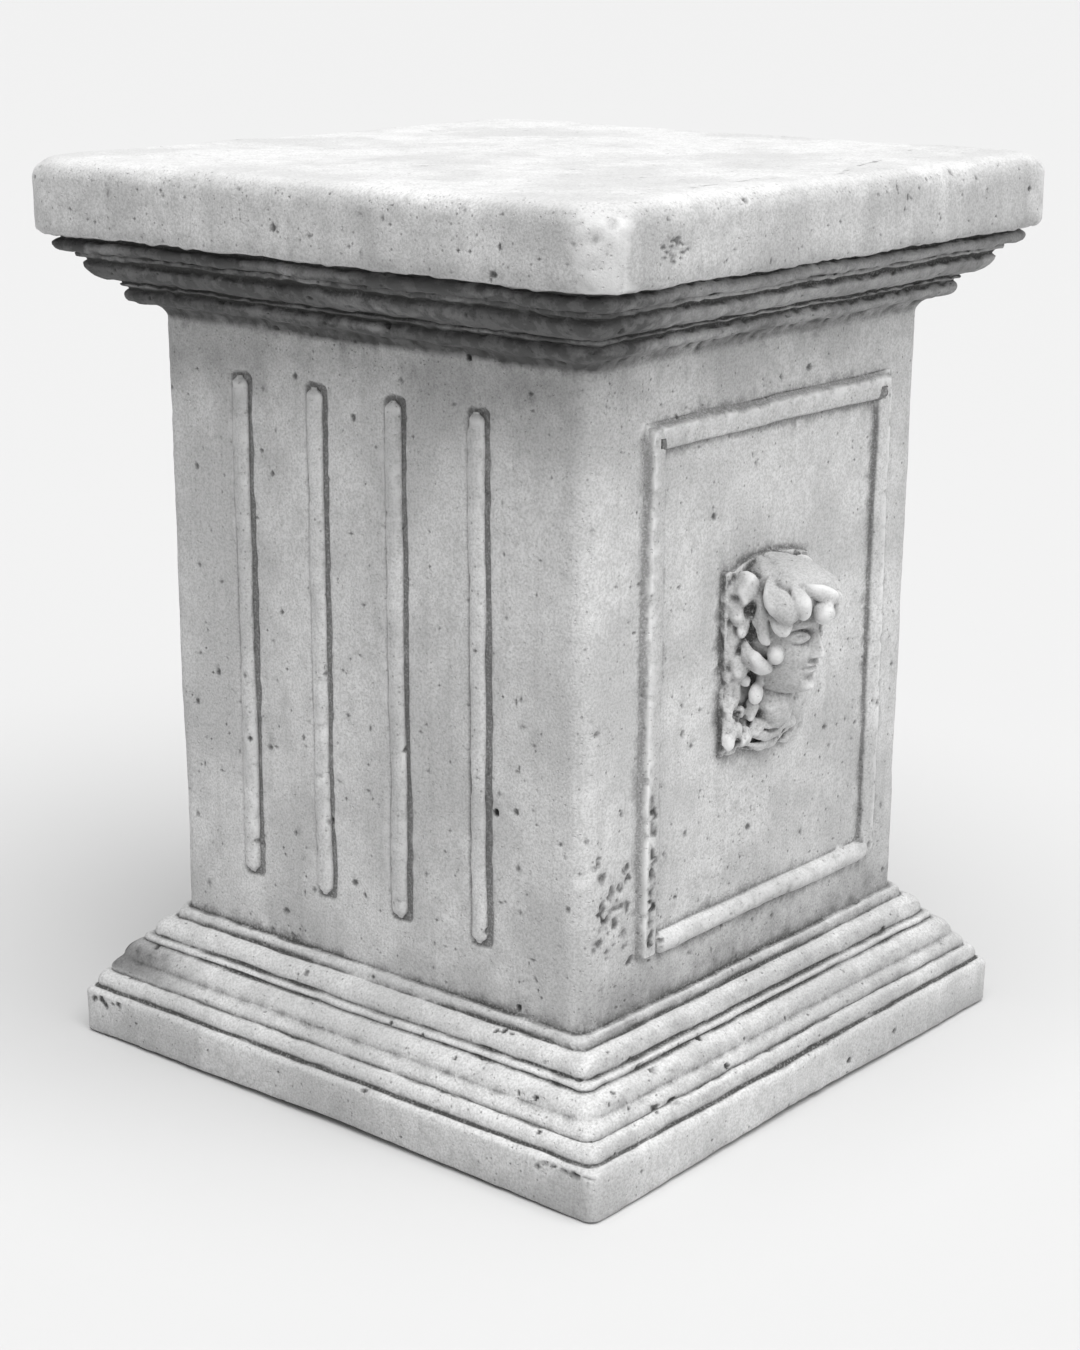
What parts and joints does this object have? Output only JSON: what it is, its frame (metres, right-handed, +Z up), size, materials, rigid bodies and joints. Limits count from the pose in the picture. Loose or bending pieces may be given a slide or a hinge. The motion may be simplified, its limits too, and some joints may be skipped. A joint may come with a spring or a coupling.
{
  "type": "pedestal",
  "caption": "Square cast-stone garden pedestal: slab over stepped cornice, reeded and panelled shaft with a small head in relief, moulded base and plinth.",
  "frame": {"origin": "middle of the underside", "axes": "+Z up; -Y is the front with the framed panel and the head in relief; -X and +X are the reeded sides; +Y is the back"},
  "size_m": [0.4, 0.4, 0.5],
  "materials": {
    "cast_stone": "weathered pale grey cast stone, fine sandy grain with small air holes, dirt in the grooves and rubbed, paler edges"
  },
  "bodies": {
    "root": {"pedestal": "cast_stone"}
  },
  "joints": []
}
